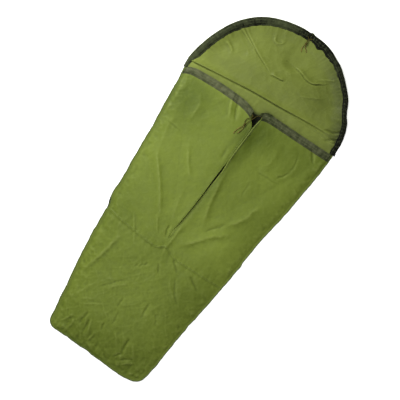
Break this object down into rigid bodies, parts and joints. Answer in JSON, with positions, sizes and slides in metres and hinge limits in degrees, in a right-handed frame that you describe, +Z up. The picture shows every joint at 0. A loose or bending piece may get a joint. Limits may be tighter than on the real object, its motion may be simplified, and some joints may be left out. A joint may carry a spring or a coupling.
{
  "type": "bivy sack",
  "caption": "Tapered weatherproof sleeping-bag cover laid flat, with a slit front whose flaps fold back, a half-moon drawcord hood and tape casings with knotted cords",
  "frame": {"origin": "on the floor under the middle of the laid-out sack", "axes": "+Y runs from the foot to the hood, +X to the right side seen from above, +Z up"},
  "size_m": [0.98, 2.2012, 0.0551],
  "materials": {
    "body_cloth": "olive weatherproof laminate with a fine ripstop weave and soft folds",
    "hood_cloth": "lighter inner face of the olive laminate",
    "seam": "felled and bound seam of the olive laminate with stitch rows",
    "mouth_tape": "grey-olive woven tape sewn down as a cord casing",
    "hood_tape": "dark olive woven tape sewn down as a cord casing",
    "cord": "tan-olive braided cord"
  },
  "bodies": {
    "sack": {"base_panel": "body_cloth", "lower_front_panel": "body_cloth", "left_front_panel": "body_cloth", "right_front_panel": "body_cloth", "left_side_seam": "seam", "right_side_seam": "seam", "foot_seam": "seam", "cross_seam": "seam", "hood_seam": "seam"},
    "left_flap": {"left_front_flap": "body_cloth", "left_slit_edge": "seam", "left_mouth_casing": "mouth_tape", "left_mouth_cord": "cord"},
    "right_flap": {"right_front_flap": "body_cloth", "right_slit_edge": "seam", "right_mouth_casing": "mouth_tape", "right_mouth_cord": "cord"},
    "mouth_cord_end": {"mouth_cord_strands": "cord", "mouth_knot": "cord", "mouth_cord_tails": "cord"},
    "hood": {"hood_panel": "hood_cloth", "left_hood_casing": "hood_tape", "right_hood_casing": "hood_tape", "left_hood_cord": "cord", "right_hood_cord": "cord"},
    "hood_cord_end": {"hood_cord_strands": "cord", "hood_knot": "cord", "hood_cord_tails": "cord"}
  },
  "joints": [
    {"name": "hood_fold", "type": "hinge", "parent": "sack", "child": "hood", "pos_m": [0, 0.63065, 0.0015], "axis": [1, 0, 0], "range_deg": [0, 100]},
    {"name": "left_flap_fold", "type": "hinge", "parent": "sack", "child": "left_flap", "pos_m": [0, -0.32935, 0.045], "axis": [0.4548, -0.8899, 0.036], "range_deg": [0, 150]},
    {"name": "right_flap_fold", "type": "hinge", "parent": "sack", "child": "right_flap", "pos_m": [0, -0.32935, 0.045], "axis": [0.4548, 0.8899, -0.036], "range_deg": [0, 150]},
    {"name": "mouth_cord_pull", "type": "slide", "parent": "left_flap", "child": "mouth_cord_end", "axis": [0, -1, 0], "range_m": [0, 0.12], "deforming": ["mouth_cord_strands"]},
    {"name": "hood_cord_pull", "type": "slide", "parent": "hood", "child": "hood_cord_end", "axis": [0, -1, 0], "range_m": [0, 0.1], "deforming": ["hood_cord_strands"]}
  ]
}
